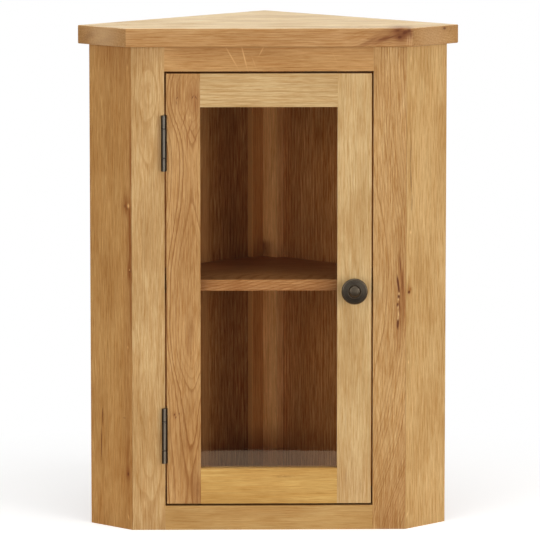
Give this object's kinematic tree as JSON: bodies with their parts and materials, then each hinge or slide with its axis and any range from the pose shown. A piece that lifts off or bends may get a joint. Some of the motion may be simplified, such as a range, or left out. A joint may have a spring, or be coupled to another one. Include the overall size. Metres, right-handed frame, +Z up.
{
  "type": "corner cupboard",
  "caption": "Wall-hung corner cupboard in light oak with a glazed hinged door, a turned metal knob and a fixed shelf.",
  "frame": {"origin": "middle of the footprint of the overall box (knob and top included), at the level of the underside", "axes": "+X to the right of a person facing the door, +Y back into the room's corner, +Z up"},
  "size_m": [0.5118, 0.337, 0.68],
  "materials": {
    "oak_outside": "satin",
    "oak_door": "satin",
    "oak_inside": "satin",
    "glass": "clear",
    "hinge_metal": "aged pewter",
    "knob_metal": "aged bronze",
    "steel": "zinc plated",
    "magnet": "matt",
    "catch_case": "matt"
  },
  "bodies": {
    "cabinet": {"top_board": "oak_outside", "base_board": "oak_inside", "left_frame_stile": "oak_outside", "right_frame_stile": "oak_outside", "top_frame_rail": "oak_outside", "bottom_frame_rail": "oak_outside", "left_return_board": "oak_outside", "right_return_board": "oak_outside", "left_back_panel": "oak_inside", "right_back_panel": "oak_inside", "left_corner_strip": "oak_inside", "right_corner_strip": "oak_inside", "left_hanging_rail": "oak_inside", "right_hanging_rail": "oak_inside", "shelf": "oak_inside", "left_shelf_batten": "oak_inside", "right_shelf_batten": "oak_inside", "upper_hinge_frame_leaf": "hinge_metal", "lower_hinge_frame_leaf": "hinge_metal", "upper_hinge_pin": "hinge_metal", "lower_hinge_pin": "hinge_metal", "upper_hinge_frame_screw_bottom": "hinge_metal", "upper_hinge_frame_screw_middle": "hinge_metal", "upper_hinge_frame_screw_top": "hinge_metal", "lower_hinge_frame_screw_bottom": "hinge_metal", "lower_hinge_frame_screw_middle": "hinge_metal", "lower_hinge_frame_screw_top": "hinge_metal", "catch_case": "catch_case", "catch_magnet": "magnet", "catch_screw_left": "steel", "catch_screw_right": "steel"},
    "door": {"door_left_stile": "oak_door", "door_right_stile": "oak_door", "door_top_rail": "oak_door", "door_bottom_rail": "oak_door", "glass_pane": "glass", "left_glazing_bead": "oak_door", "right_glazing_bead": "oak_door", "top_glazing_bead": "oak_door", "bottom_glazing_bead": "oak_door", "upper_hinge_door_leaf": "hinge_metal", "lower_hinge_door_leaf": "hinge_metal", "upper_hinge_door_screw_bottom": "hinge_metal", "upper_hinge_door_screw_middle": "hinge_metal", "upper_hinge_door_screw_top": "hinge_metal", "lower_hinge_door_screw_bottom": "hinge_metal", "lower_hinge_door_screw_middle": "hinge_metal", "lower_hinge_door_screw_top": "hinge_metal", "knob": "knob_metal", "knob_screw": "steel", "striker_plate": "steel", "striker_screw": "steel"}
  },
  "joints": [
    {"name": "door_hinge", "type": "hinge", "parent": "cabinet", "child": "door", "pos_m": [-0.141, -0.14704, 0.3275], "axis": [0, 0, -1], "range_deg": [0, 150]}
  ]
}
